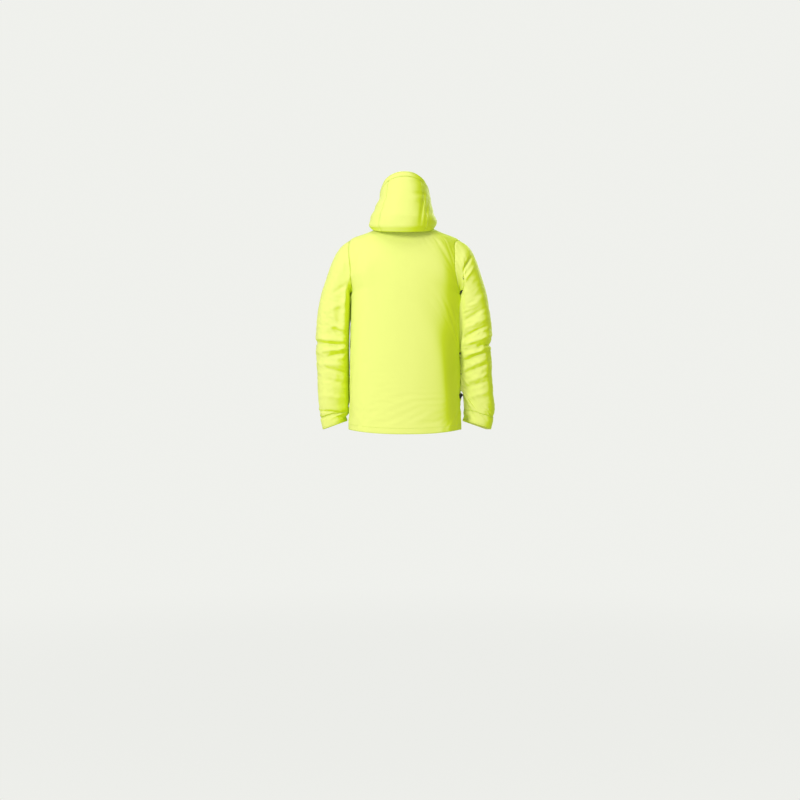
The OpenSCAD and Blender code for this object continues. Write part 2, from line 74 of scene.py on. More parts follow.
# %% Sizes of the cut
back_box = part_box("back_panel")
collar_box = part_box("collar_shell")
BODY_LEN = -back_box[0][2] / MM
HEM_W = (back_box[1][0] - back_box[0][0]) / MM
NECK_W = (collar_box[1][0] - collar_box[0][0]) / MM
CHEST_W, SHOULDER_W = HEM_W - 8, HEM_W - 2
FRONT_DEPTH, CHIN_DEPTH, BACK_DEPTH = 240.0, 170.0, 57.0
COLLAR_TOP = collar_box[1][2] / MM
TIP_Z, ARM_Z, NECK_SIDE_Z = -82.0, -255.0, -25.0
HEM_SIDE_Z, HEM_FRONT_Z = 15 - BODY_LEN, 21 - BODY_LEN
NECK_FRONT_Z, TOP_FRONT_Z = -75.0, -15.0
ZIP_HALF = 9.0
SLEEVE_OUT, CUFF_DROP = 301.0, 742.0
HOOD_H, HOOD_W, HOOD_DROP, HOOD_BACK, HOOD_TAPER = 157.0, 240.0, 56.0, 92.0, 32
LEAN = (FRONT_DEPTH - CHIN_DEPTH) / (TOP_FRONT_Z - HEM_FRONT_Z)
print("cut: length", round(BODY_LEN), "hem", round(HEM_W), "neck", round(NECK_W), "mm")

# %% Small helpers for blending numbers


def mix(a, b, t):
    return a + (b - a) * t


def clip(t):
    return min(max(t, 0.0), 1.0)


def smooth(t):
    t = clip(t)
    return t * t * (3 - 2 * t)


def spow(c, e):
    return math.copysign(abs(c) ** e, c) if c else 0.0


print("halfway of a soft step:", smooth(0.5))

# %% Rows and columns of the body


def row_value(j, hem, arm, tip, neck, top):
    """One size of the cut on row j, straight between the five named rows."""
    if j <= 5:
        low = 0.04 * j if j < 1 else mix(0.04, 1, (j - 1) / 4)
        return mix(hem, arm, low)
    if j <= 11:
        return mix(arm, tip, (j - 5) / 6)
    if j <= 15:
        return mix(tip, neck, (j - 11) / 4)
    return mix(neck, top, (j - 15) / 3)


def belly(j, lo, hi):
    return math.sin(math.pi * clip((j - lo) / (hi - lo)))


def body_point(i, j, off=0.0):
    """Point of the body's outer face, in mm, at column i and row j, off mm inside it."""
    k = i if i <= 24 else 48 - i
    sweep = 16 + 20 * belly(j, 5, 11) ** 0.8
    if k <= 9:
        turn = mix(-90, -sweep, k / 9)
    elif k <= 15:
        turn = sweep * (k - 12) / 3
    else:
        turn = mix(sweep, 90, (k - 15) / 9)
    th = math.radians(turn)
    s, c = math.sin(th), max(math.cos(th), 0.0)
    zs = row_value(j, HEM_SIDE_Z, ARM_Z, TIP_Z, NECK_SIDE_Z, 30)
    zb = row_value(j, -BODY_LEN, ARM_Z + 20, TIP_Z - 10, -8, COLLAR_TOP)
    zf = row_value(j, HEM_FRONT_Z, ARM_Z - 35, TIP_Z - 83, NECK_FRONT_Z, TOP_FRONT_Z)
    z = zs + ((zb if s > 0 else zf) - zs) * s * s
    front = -FRONT_DEPTH + (zf - HEM_FRONT_Z) * LEAN + off
    back = row_value(j, BACK_DEPTH, BACK_DEPTH + 3, 44, 8, 10) - off
    if 5 < j < 11:
        back += 4 * belly(j, 5, 11)
    elif 11 < j < 15:
        back += 3 * belly(j, 11, 15)
    half = row_value(j, HEM_W, CHEST_W, SHOULDER_W, NECK_W, NECK_W - 6) / 2 - off
    if 5 < j < 11:
        half += 29 * belly(j, 5, 11)
    x = half * c ** (2 / 2.4)
    y = (back + front) / 2 + (back - front) / 2 * spow(s, 2 / 2.4)
    if k < 20:
        x = max(x, ZIP_HALF)
    drop = 0 if j <= 7 else (j - 7) / 5 if j <= 11 else 0.9 if j < 15 else 0.5 if j == 15 else 0
    return Vector((x if i <= 24 else -x, y, z - off * drop))


print("back middle at the hem", body_point(24, 0))

# %% Rings of the sleeve


def ring_rim(f):
    """Outer and inner edge point (x, z) of a sleeve ring at share f of the sleeve's length."""
    xo = SHOULDER_W / 2 + (SLEEVE_OUT - SHOULDER_W / 2) * min(f / 0.43, 1) ** 0.42
    xo -= 10 * clip((f - 0.8) / 0.2) ** 1.6
    zi = mix(ARM_Z, 30 - CUFF_DROP, f ** 1.55) - 8 * clip(f * 12) * (1 - f)
    return Vector((xo, mix(TIP_Z, -CUFF_DROP, f))), Vector((HEM_W / 2 + mix(-1, 5, f ** 0.5), zi))


def sleeve_point(f, phi, off=0.0):
    outer, inner = ring_rim(f)
    h = (outer - inner).length / 2
    e = (outer - inner) / (2 * h)
    c = (outer + inner) / 2
    a = math.radians(phi)
    u = -(h - off) * spow(math.cos(a), 2 / 2.2)
    v = (mix(162, 104, f ** 1.6) / 2 - off) * spow(math.sin(a), 2 / 2.2)
    return Vector((c.x + e.x * u, -70 - 53 * f ** 1.8 + v, c.y + e.y * u))


def armhole_point(k, off=0.0):
    """Point k (0 to 24) of the armhole's edge, from the underarm round the back."""
    if k <= 3:
        return body_point(12 + k, 5, off)
    if k <= 9:
        return body_point(15, 2 + k, off)
    if k <= 15:
        return body_point(24 - k, 11, off)
    if k <= 21:
        return body_point(9, 26 - k, off)
    return body_point(k - 12, 5, off)


FIRST_RING = 0.93 * (1 / 11) ** 1.5


def sleeve_cloth(f, k, off=0.0):
    """Sleeve point with the first few centimetres drawn to the armhole's edge."""
    p = sleeve_point(max(f, FIRST_RING), 15 * k, off)
    return armhole_point(k, off).lerp(p, min(f / FIRST_RING, 1))


print("cuff", sleeve_point(1, 180))

# %% Wall of the hood


def hood_half(z):
    """Half the cut hood's width at height z."""
    return HOOD_W / 2 - HOOD_TAPER * (1 - smooth((80 - z) / 95))


def hood_point(i, w, off=0.0):
    """Hood at column i (0 to 32) and height share w: below 0 is the edge tucked in underneath."""
    th = math.radians(mix(-25, 205, i / 32))
    s, c = math.sin(th), math.cos(th)
    low = mix(-28, -HOOD_DROP, max(s, 0) ** 0.5)
    rim = mix(5, HOOD_H, clip((s + 0.42) / 1.42) ** 0.5)
    z = mix(low, rim, max(w, 0)) + 6 * clip(-w)
    tuck = mix(9, 30, clip(-w)) if w < 0 else 9 * (1 - smooth(w / 0.1))
    half = hood_half(z)
    deep = mix(HOOD_BACK - 6, HOOD_BACK, clip((z + HOOD_DROP) / HOOD_DROP)) if z < 0 else \
        mix(HOOD_BACK, HOOD_BACK - 30, clip(z / HOOD_H) ** 1.3)
    t = tuck + off
    return Vector(((half - t * 0.8) * spow(c, 0.9), -30 + (deep + 30 - t) * spow(s, 0.95),
                   z + (off if w <= 0 else 0)))


print("hood's highest point", hood_point(16, 1))

# %% [markdown]
# ## How this jacket hangs
# No two sleeves hang alike: one hangs close, the other swings a little outwards at the cuff, and
# its armhole seam is pulled towards the spine. These shifts are applied before the cloth is
# creased, so that the folds form round the pose and are not bent with it.

# %% Shifts of the hang
# Each table holds (height, shift) in mm: where the right sleeve swings, and how full each one is.
RIGHT_SLEEVE = ((-100, 0), (-192, 8), (-286, 6), (-379, 5), (-441, 8), (-520, 0), (-600, -6),
                (-668, -12), (-745, -13))
FULL_LEFT = ((-60, 4), (-112, 15), (-182, 14), (-287, 21), (-427, 18), (-567, 13), (-672, 11),
             (-745, 4))
FULL_RIGHT = ((-60, 4), (-112, 13), (-182, 18), (-287, 19), (-427, 17), (-567, 13), (-672, 15),
              (-745, 6))
PULL_RIGHT, PULL_LEFT, INNER_SHIFT, SHOULDER_LIFT = 16, 7, 10, 13
BACK_FLAT, RIDGE_RISE, HOLLOW_DEPTH, GATHER = 9, 6, 11, 1.8


def table_value(table, z):
    for (z0, v0), (z1, v1) in zip(table, table[1:]):
        if z1 <= z <= z0:
            return mix(v0, v1, smooth((z0 - z) / (z0 - z1)))
    return table[0][1] if z > table[0][0] else table[-1][1]


def hang(p, on_sleeve):
    x, y, z = p
    back = smooth((y + 70) / 60)
    side = 1 if x > 0 else -1
    if on_sleeve:
        # The front half of the cuff stays on the cut, where its tab is sewn on.
        free = mix(1, smooth((y + 134) / 30), smooth((-620 - z) / 60))
        outer = smooth((abs(x) - 212) / 70)
        inner = smooth((250 - abs(x)) / 40) * smooth((-230 - z) / 60) \
            * smooth((z + (700 if side > 0 else 590)) / 40)
        full = table_value(FULL_LEFT if side > 0 else FULL_RIGHT, z)
        shift = side * (outer * full - INNER_SHIFT * inner)
        x += free * (shift + (table_value(RIGHT_SLEEVE, z) if side < 0 else 0))
    if side < 0:
        pull = smooth((-40 - z) / 40) * (1 - smooth((-150 - z) / 110))
        x += PULL_RIGHT * pull * back * math.exp(-((x + 188) / 42) ** 2)
    else:
        pull = smooth((-60 - z) / 40) * (1 - smooth((-180 - z) / 90))
        x += PULL_LEFT * pull * back * math.exp(-((x - 196) / 30) ** 2)
    # The shoulder seam lies high and slopes slowly, because the cloth rests on padded layers.
    z += SHOULDER_LIFT * math.exp(-((abs(x) - 200) / 52) ** 2) * smooth((z + 200) / 120)
    # Worn over layers, the back lies nearly flat between the armholes.
    if not on_sleeve and y > -60:
        y += BACK_FLAT * math.exp(-((abs(x) - 150) / 38) ** 2) * smooth((-110 - z) / 80)
        # A soft ridge runs down the lower right of the back, with a hollow beside it.
        ridge = -118 - 0.16 * (-330 - z)
        across = (x - ridge) / 34
        depth = smooth((-330 - z) / 110) * (1 - 0.5 * smooth((-600 - z) / 150))
        y += depth * (RIDGE_RISE * math.exp(-(across - 0.5) ** 2)
                      - HOLLOW_DEPTH * math.exp(-(across + 1.1) ** 2))
        # The hem's tape draws the cloth into small gathers near the side.
        near = math.exp(-((x + 165) / 40) ** 2) + 0.5 * math.exp(-((x - 175) / 30) ** 2)
        y += GATHER * math.sin(x / 4.6 + 0.02 * z) * near * smooth((-680 - z) / 40)
    return Vector((x, y, z))


# %% [markdown]
# ## One closed garment
# The body is a grid rolled round the trunk, and each sleeve is a grid rolled into a tube whose
# first ring is the armhole's own edge. Welding the three gives a garment that creases as one
# cloth. Each face remembers its panel, and a flat map in metres keeps the weave even on every
# panel.

# %% Grids and their panels
COLS, RING = 144, 72
body_rows = [j / 4 for j in range(5)] + [1 + 4 * k / 52 for k in range(1, 53)] \
    + [5 + k / 3 for k in range(1, 19)] + [11 + k / 4 for k in range(1, 17)]
SLEEVE_ROWS = 124
# Numbers that the faces carry: 0 back, 1 and 2 fronts, 3 and 4 upper sleeves, 5 and 6 forearms,
# 7 and 8 cuffs, the left one of each pair first.
ELBOW_F, CUFF_F, CUFF_STITCH_F = 0.93 * (8 / 11) ** 1.5, 0.93, 0.992


def rolled_grid(bm, nx, ny, place, panel_of, uv_of, keep):
    """A flat grid whose points are moved onto a surface, with its panel and map recorded."""
    made = bmesh.ops.create_grid(bm, x_segments=nx, y_segments=ny, size=0.5)
    layer = bm.faces.layers.int.get("panel")
    uv = bm.loops.layers.uv.verify()
    flat = {}
    for v in made["verts"]:
        flat[v] = (round((v.co.x + 0.5) * nx), round((v.co.y + 0.5) * ny))
    faces = {f for v in made["verts"] for f in v.link_faces}
    gone = []
    for f in faces:
        a = min(flat[v][0] for v in f.verts)
        b = min(flat[v][1] for v in f.verts)
        if not keep(a, b):
            gone.append(f)
            continue
        f[layer] = panel_of(a, b)
        for loop in f.loops:
            loop[uv].uv = uv_of(*flat[loop.vert])
    for v, (a, b) in flat.items():
        v.co = place(a, b)
    bmesh.ops.delete(bm, geom=gone, context="FACES")


def is_armhole(a, b):
    return 4.99 < body_rows[b] < 10.9 and (27 <= a < 45 or 99 <= a < 117)


def body_panel(a, b):
    return 0 if 36 <= a < 108 else 1 if a < 36 else 2


def sleeve_share(b):
    return b / SLEEVE_ROWS


print("grid:", COLS, "columns,", len(body_rows), "body rows,", SLEEVE_ROWS, "sleeve rows")

# %% Roll the grids and weld them
bm = bmesh.new()
bm.faces.layers.int.new("panel")
rolled_grid(bm, COLS, len(body_rows) - 1,
            lambda a, b: hang(body_point(a / 3, body_rows[b]), False) * MM, body_panel,
            lambda a, b: (a / 3 * 0.024, body_point(24, body_rows[b]).z * MM),
            lambda a, b: not is_armhole(a, b))
for side in (1, -1):
    number = 0 if side > 0 else 1

    def on_sleeve(a, b, side=side):
        p = sleeve_cloth(sleeve_share(b), (a % RING) / 3)
        soft = min(sleeve_share(b) / 0.06, 1)
        p = Vector((side * p.x, p.y, p.z))
        return hang(p, False).lerp(hang(p, True), soft) * MM

    rolled_grid(bm, RING, SLEEVE_ROWS, on_sleeve,
                lambda a, b, n=number: (3 if sleeve_share(b) < ELBOW_F else
                                        5 if sleeve_share(b) < CUFF_F else 7) + n,
                lambda a, b: (a / 3 * 0.018 + 2, -0.66 * sleeve_share(b)), lambda a, b: True)
bmesh.ops.remove_doubles(bm, verts=bm.verts[:], dist=0.0002)
loose = [v for v in bm.verts if not v.link_faces]
bmesh.ops.delete(bm, geom=loose, context="VERTS")
bmesh.ops.recalc_face_normals(bm, faces=bm.faces[:])
print("garment:", len(bm.verts), "points,", len(bm.faces), "faces, open edges",
      sum(e.is_boundary for e in bm.edges))


# %% From grid to object


def make_object(bm, name):
    mesh = bpy.data.meshes.new(name)
    bm.to_mesh(mesh)
    bm.free()
    obj = bpy.data.objects.new(name, mesh)
    bpy.context.scene.collection.objects.link(obj)
    for p in mesh.polygons:
        p.use_smooth = True
    return obj


def face_outwards(obj, middle_y):
    """Turns the faces so that most of the area looks away from the upright line at middle_y."""
    total = sum(p.area * p.normal.dot(p.center - Vector((0, middle_y, p.center.z)))
                for p in obj.data.polygons)
    if total < 0:
        obj.data.flip_normals()


garment = make_object(bm, "garment")
print("garment object:", len(garment.data.vertices), "points")

# %% [markdown]
# ## Creasing the cloth
# Stiff coated cloth folds where there is more of it than the body needs. The rest shape given to
# the simulation is longer and slightly twisted down each sleeve, so the sleeves buckle into the
# slanting folds of a bent arm, while the back gets only a little spare width. A form inside stops
# the folds from falling in. Points along the zips, the pockets, the neck, the cuffs and the hem
# are held to the cut, and the rest of the body is held lightly.

# %% Where the cut is held, and where it has cloth to spare
SEED = Vector((3.1, 7.7, 1.3))
# Spare length down each sleeve, as a share of its length.
SPARE_RIGHT, SPARE_LEFT = 0.11, 0.09


def hold_weight(p):
    """How firmly the cut is held at this point, from 0 to 1."""
    x, y, z = (c / MM for c in p)
    arm = abs(x) > 197
    if not arm:
        neck = smooth((z + 95) / 60)
        zips = 1 - smooth((abs(x) - 24) / 30) if y < -120 else 0
        pocket = (1 - smooth((abs(abs(x) - 130) - 16) / 24)) * smooth((-400 - z) / 40) \
            * smooth((z + 660) / 40) if y < -120 else 0
        chest = (1 - smooth((abs(x - 96) - 16) / 22)) * smooth((-270 - z) / 30) \
            * smooth((z + 450) / 30) if y < -120 else 0
        hem = 0.85 * smooth((-722 - z) / 14)
        back = 0.32 if y > -20 else 0.08
        return max(neck, zips, pocket, chest, hem, back)
    cuff = smooth((-690 - z) / 30)
    return max(cuff, 0.015)


def spare(p):
    """Where the cloth would lie if it were flat and unheld: the rest shape of the simulation."""
    x, y, z = (c / MM for c in p)
    arm = smooth((abs(x) - 200) / 14)
    side = 1 if x > 0 else -1
    cx, cy = side * 250, -70 - 53 * clip((-80 - z) / 660) ** 1.8
    long = 1 + arm * (SPARE_RIGHT if side < 0 else SPARE_LEFT) * smooth((-110 - z) / 60) \
        * (1 - smooth((-640 - z) / 70))
    turn = arm * math.radians(7) * math.sin((z + 240) / 120) * side
    dx, dy = (x - cx) * (1 + 0.015 * arm), (y - cy) * (1 + 0.015 * arm)
    xr = cx + dx * math.cos(turn) - dy * math.sin(turn)
    yr = cy + dx * math.sin(turn) + dy * math.cos(turn)
    x2, y2 = mix(x * 1.006, xr, arm), mix(y * 1.006, yr, arm)
    return Vector((x2, y2, -240 + (z + 240) * long)) * MM


print("held at the hem:", round(hold_weight(Vector((0, 0.057, -0.75))), 2))

# %% One cloth simulation


def body_form(source, depth):
    """A smooth form just inside the garment, for the cloth to rest on."""
    bm = bmesh.new()
    bm.from_mesh(source.data)
    bm.normal_update()
    shift = {v: v.normal * depth * (1.0 if abs(v.co.x) < 0.195 else 0.9) for v in bm.verts}
    for v, d in shift.items():
        v.co = v.co - d
    obj = make_object(bm, "body_form")
    obj.modifiers.new("collide", "COLLISION")
    obj.collision.thickness_outer = 0.002
    obj.collision.cloth_friction = 8
    return obj


STIFF, BEND, CLOTH_MASS = 18.0, 2.0, 0.12


def crease(obj, frames, weight, rest, form):
    """Runs one cloth simulation on obj over form and applies its last frame."""
    group = obj.vertex_groups.new(name="hold")
    for v in obj.data.vertices:
        group.add([v.index], weight(v.co), "REPLACE")
    obj.shape_key_add(name="cut")
    key = obj.shape_key_add(name="spare")
    for v, point in zip(obj.data.vertices, key.data):
        point.co = rest(v.co)
    key.value = 0.0
    cloth = obj.modifiers.new("cloth", "CLOTH")
    s = cloth.settings
    s.quality = 7
    s.mass = CLOTH_MASS
    s.tension_stiffness = s.compression_stiffness = STIFF
    s.shear_stiffness = STIFF * 0.6
    s.bending_stiffness = BEND
    s.air_damping = 4
    s.vertex_group_mass = "hold"
    s.pin_stiffness = 1.0
    s.effector_weights.gravity = 1.0
    s.rest_shape_key = obj.data.shape_keys.key_blocks["spare"]
    c = cloth.collision_settings
    c.use_self_collision = False
    c.use_collision = form is not None
    c.distance_min = 0.002
    scene = bpy.context.scene
    scene.frame_start, scene.frame_end = 1, frames
    cloth.point_cache.frame_start, cloth.point_cache.frame_end = 1, frames
    for f in range(1, frames + 1):
        scene.frame_set(f)
    graph = bpy.context.evaluated_depsgraph_get()
    done = bpy.data.meshes.new_from_object(obj.evaluated_get(graph))
    obj.modifiers.clear()
    obj.shape_key_clear()
    obj.data = done
    obj.vertex_groups.clear()
    scene.frame_set(1)
    return obj


# %% Crease the garment
QUICK_FRAMES, FULL_FRAMES, FORM_DEPTH = 12, 34, 0.011
started = time.time()
before = [v.co.copy() for v in garment.data.vertices]
form = body_form(garment, FORM_DEPTH)
crease(garment, FULL_FRAMES, hold_weight, spare, form)
bpy.data.objects.remove(form)
moved = [(v.co - b).length for v, b in zip(garment.data.vertices, before)]
print("creased in", round(time.time() - started), "s; largest move",
      round(max(moved) / MM, 1), "mm, mean", round(sum(moved) / len(moved) / MM, 2), "mm")

# %% [markdown]
# ## Folds of a bent arm
# A sleeve keeps the memory of a bent elbow: sharp valleys between rounded ridges that run up from
# the inside of the arm to the outside. Each fold is one entry of the table below. The cloth between
# them is crumpled finely, and more so at the elbow.

# %% Set the sleeve folds
# side, height at the fold's middle, rise outwards, half width, depth (mm), middle and reach in x
FOLDS = ((1, -424, 0.15, 9, 5.5, 262, 52), (1, -440, 0.12, 6, -7.5, 272, 46),
         (1, -460, -0.12, 9, 5, 252, 52), (1, -478, -0.2, 6, -5, 238, 40),
         (1, -400, 0.4, 7, -4.5, 226, 34), (1, -382, 0.4, 9, 3, 236, 40),
         (1, -512, 0.12, 10, 3.5, 262, 46), (1, -534, 0.2, 7, -3.5, 248, 44),
         (1, -575, 0.25, 8, -3, 236, 38), (1, -306, -0.5, 12, 2.5, 236, 40),
         (1, -244, -0.6, 8, -3, 222, 30), (1, -625, 0.1, 9, 2.5, 262, 40),
         (-1, -444, 0.12, 5, -8.5, 284, 30), (-1, -424, 0.35, 9, 6, 258, 48),
         (-1, -398, 0.5, 7, -6, 244, 46), (-1, -372, 0.5, 10, 4, 238, 46),
         (-1, -342, 0.6, 8, -4, 236, 44), (-1, -468, 0.35, 8, 5.5, 250, 46),
         (-1, -486, 0.38, 6, -5.5, 246, 44), (-1, -512, 0.42, 8, 4.5, 244, 42),
         (-1, -530, 0.4, 6, -4.5, 246, 42), (-1, -562, 0.35, 8, 3.5, 248, 40),
         (-1, -584, 0.3, 6, -4, 252, 40), (-1, -618, 0.25, 8, 3, 258, 38),
         (-1, -166, 1.5, 7, -11, 214, 20), (-1, -196, 1.4, 9, 4, 224, 22),
         (-1, -300, 0.7, 10, 2.5, 240, 40))
FOLD_GAIN, FOLD_NARROW = 1.3, 0.85


def fold_depth(p):
    x, y, z = (c / MM for c in p)
    if abs(x) < 200:
        return 0.0
    side, out, total = (1 if x > 0 else -1), abs(x), 0.0
    for which, z0, rise, width, depth, middle, reach in FOLDS:
        if which == side:
            line = z0 + rise * (out - middle)
            total += FOLD_GAIN * depth * math.exp(-((z - line) / (FOLD_NARROW * width)) ** 2
                                                  - ((out - middle) / reach) ** 4)
    bent = math.exp(-((z + 460) / 110) ** 2)
    slant = Vector((x / 30, y / 30, (z - 0.4 * side * x) / 15))
    ridges = 0.42 - 1.6 * abs(noise.noise(slant + SEED))
    total += ridges * mix(1.4, 5.4, bent) + noise.noise(slant * 2.3 - SEED) * mix(0.4, 1.3, bent)
    return total * smooth((out - 200) / 14) * smooth((y + 175) / 55) * smooth((z + 716) / 30)


bm = bmesh.new()
bm.from_mesh(garment.data)
bm.normal_update()
steps = {v: v.normal * fold_depth(v.co) * MM for v in bm.verts}
for v, step in steps.items():
    v.co += step
bm.to_mesh(garment.data)
bm.free()
print("folds set:", len(FOLDS))

# %% [markdown]
# ## Cutting the panels apart
# The creased garment is cut along its seams. Each panel gets the cloth's thickness, and its edges
# turn in a little, because a taped seam pulls the cloth into a shallow groove between two rows of
# stitching.

# %% Find the seams


def surface_of(obj):
    bm = bmesh.new()
    bm.from_mesh(obj.data)
    return bm


def seam_edges(bm, a, b):
    """Edges of the garment between panel a and panel b."""
    layer = bm.faces.layers.int["panel"]
    return [e for e in bm.edges if len(e.link_faces) == 2
            and {e.link_faces[0][layer], e.link_faces[1][layer]} == {a, b}]


def ordered(edges):
    """Vertices along a chain of edges, each chain as one list."""
    left, chains = set(edges), []
    while left:
        e = left.pop()
        chain = [e.verts[0], e.verts[1]]
        for end in (0, -1):
            while True:
                near = [n for n in chain[end].link_edges if n in left]
                if not near:
                    break
                left.discard(near[0])
                v = near[0].other_vert(chain[end])
                if end == 0:
                    chain.insert(0, v)
                else:
                    chain.append(v)
        chains.append(chain)
    return chains


# %% Sink the seams into the cloth
bm = surface_of(garment)
bm.normal_update()
layer = bm.faces.layers.int["panel"]
SEAMS = [(0, 1), (0, 2), (0, 3), (0, 4), (1, 3), (2, 4), (3, 5), (4, 6), (5, 7), (6, 8)]
GROOVE = {(3, 5): 0.0, (4, 6): 0.0, (5, 7): 0.5, (6, 8): 0.5}
seam_lines = {}
sunk = {}
for pair in SEAMS:
    edges = seam_edges(bm, *pair)
    depth = GROOVE.get(pair, 1.3)
    for e in edges:
        for v in e.verts:
            sunk[v] = max(sunk.get(v, 0), depth * MM)
    if depth:
        seam_lines[pair] = [[v.co.copy() for v in chain] for chain in ordered(edges)]
for v, d in sunk.items():
    v.co -= v.normal * d
bm.to_mesh(garment.data)
bm.free()
print("seams:", {k: sum(len(c) for c in v) for k, v in seam_lines.items()})

# %% Cut out the panels
NAMES = ["back_panel", "front_panel_left", "front_panel_right", "sleeve_upper_left",
         "sleeve_upper_right", "forearm_left", "forearm_right", "cuff_left", "cuff_right"]


def panel_piece(source, numbers, name, thick=1.1, detail=1, inward=0.0):
    """One panel cut out of the garment, thickened to its inside and given a fine surface."""
    bm = surface_of(source)
    layer = bm.faces.layers.int["panel"]
    bmesh.ops.delete(bm, geom=[f for f in bm.faces if f[layer] not in numbers], context="FACES")
    if inward:
        bm.normal_update()
        shift = {v: v.normal.copy() for v in bm.verts}
        for v, n in shift.items():
            v.co -= n * inward * MM
    obj = make_object(bm, name)
    sub = obj.modifiers.new("fine", "SUBSURF")
    sub.levels = sub.render_levels = detail
    solid = obj.modifiers.new("cloth", "SOLIDIFY")
    solid.thickness = thick * MM
    solid.offset = -1
    return obj


def ride(obj, body, slot, *nodes):
    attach(obj, body)
    if nodes:
        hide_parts(*nodes)
    return obj


shell_pieces = []
for numbers in ((0,), (1,), (2,), (3, 5), (4, 6), (7,), (8,)):
    piece = panel_piece(garment, set(numbers), "cloth_" + NAMES[numbers[0]])
    ride(piece, "jacket", "shell_cloth", *[NAMES[k] for k in numbers])
    shell_pieces.append(piece)
print("panels:", [len(p.data.polygons) for p in shell_pieces])

# %% [markdown]
# ## Hood
# The hood stands round the back of the neck like a bag with its mouth up. Its wall is one sheet of
# the same cloth: the brim is turned over and stitched, the lower edge rolls under, and the side
# that hangs away from the light falls into upright folds.

# %% Build the hood
HOOD_COLS, HOOD_ROWS = 96, 40


def hood_share(b):
    return -1 + b / 4 if b <= 4 else (b - 4) / (HOOD_ROWS - 4)


# Half width of the hood, (height, half width) in mm. The wearer's right side hangs closer.
HOOD_LEFT = ((157, 78), (129, 83), (77, 89), (38, 106), (4, 122), (-28, 128), (-45, 123),
             (-62, 119))
HOOD_RIGHT = ((157, 70), (126, 79), (105, 84), (63, 92), (24, 100), (-10, 113), (-31, 108),
              (-62, 98))


def hood_place(a, b):
    w = hood_share(b)
    x, y, z = hood_point(a / 3, w)
    x *= table_value(HOOD_LEFT if x > 0 else HOOD_RIGHT, z) / hood_half(z)
    wide = clip(w * 3) * clip((1 - w) * 4)
    if x < 0:
        for at, width, depth in ((-62, 6, 5), (-78, 5, 5), (-92, 4, 3.5)):
            lean = at - 0.12 * (z - 40)
            y -= depth * wide * math.exp(-((x - lean) / width) ** 2 - ((z - 20) / 70) ** 4)
        y -= 4.5 * wide * math.exp(-((x + 54) / 24) ** 2 - ((z - 78 - 0.15 * (x + 54)) / 5) ** 2)
        y += 3 * wide * math.exp(-((x + 50) / 26) ** 2 - ((z - 62) / 10) ** 2)
    else:
        y -= 3 * wide * math.exp(-((x - 84) / 22) ** 2 - ((z + 14 - 0.3 * (x - 84)) / 8) ** 2)
    y += 1.5 * noise.noise(Vector((x, y, z)) / 46 + SEED) * wide
    return Vector((x, y, z)) * MM


bm = bmesh.new()
bm.faces.layers.int.new("panel")
BRIM_B = round(4 + 0.92 * (HOOD_ROWS - 4))
rolled_grid(bm, HOOD_COLS, HOOD_ROWS, hood_place,
            lambda a, b: 3 if b >= BRIM_B else 0 if 30 <= a < 66 else 1 if a < 30 else 2,
            lambda a, b: (a * 0.0052, b * 0.006), lambda a, b: True)
bmesh.ops.recalc_face_normals(bm, faces=bm.faces[:])
hood = make_object(bm, "hood")
face_outwards(hood, -0.03)


hood_low, hood_high = hood.bound_box[0], hood.bound_box[6]
print("hood spans", [round(v, 3) for v in hood_low], [round(v, 3) for v in hood_high])
bm = surface_of(hood)
bm.normal_update()
hood_seams = []
for pair in ((0, 1), (0, 2), (0, 3), (1, 3), (2, 3)):
    edges = seam_edges(bm, *pair)
    hood_seams += [[v.co.copy() for v in chain] for chain in ordered(edges)]
    for v in {v for e in edges for v in e.verts}:
        v.co -= v.normal * (0.7 if 3 in pair else 0.35) * MM
bm.to_mesh(hood.data)
bm.free()
hood_pieces = []
for k, node in enumerate(["hood_centre_panel", "hood_side_left", "hood_side_right", "hood_brim"]):
    piece = panel_piece(hood, {k}, "cloth_" + node, thick=2.4 if k == 3 else 1.2)
    ride(piece, "hood", "shell_cloth", node)
    hood_pieces.append(piece)
hood_inside = panel_piece(hood, {0, 1, 2}, "lining_hood", thick=0.8, inward=2.6)
ride(hood_inside, "hood", "lining_cloth", "hood_lining")

# %% [markdown]
# ## Where the hood is sewn on
# A strip of shell cloth runs from the neck seam to the hood's tucked edge. It hides under the hood
# at rest.

# %% Join the hood to the neck
GUSSET_COLS, GUSSET_ROWS = 60, 12


def neck_seam(th):
    """Point of the neck seam, just outside the collar, at angle th (90 is the back)."""
    k = 15 + (min(th, 180 - th) - 16) / 74 * 9
    return (body_point(k if th <= 90 else 48 - k, 15, -2.0) + Vector((0, 0, 3))) * MM


def gusset_place(a, b):
    th = mix(25, 155, a / GUSSET_COLS)
    t = b / GUSSET_ROWS
    p = neck_seam(th).lerp(hood_place((th + 25) / 230 * HOOD_COLS, 0), t)
    p.z += 4 * MM * math.sin(math.pi * t)
    return p


bm = bmesh.new()
bm.faces.layers.int.new("panel")
rolled_grid(bm, GUSSET_COLS, GUSSET_ROWS, gusset_place, lambda a, b: 0,
            lambda a, b: (a * 0.004, b * 0.005), lambda a, b: True)
bmesh.ops.recalc_face_normals(bm, faces=bm.faces[:])
gusset_cut = make_object(bm, "gusset_cut")
face_outwards(gusset_cut, -0.085)
gusset = panel_piece(gusset_cut, {0}, "cloth_hood_join", thick=1.0)
bpy.context.view_layer.update()
graph = bpy.context.evaluated_depsgraph_get()
finished = bpy.data.meshes.new_from_object(gusset.evaluated_get(graph))
gusset.modifiers.clear()
gusset.data = finished
bpy.data.objects.remove(gusset_cut)
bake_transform(gusset)
print("hood join:", len(gusset.data.polygons), "faces")

# %% [markdown]
# ## Collar
# The collar is two layers of cloth on a light stiffener, so it stands by itself and only bows
# between its seams.

# %% Build the collar


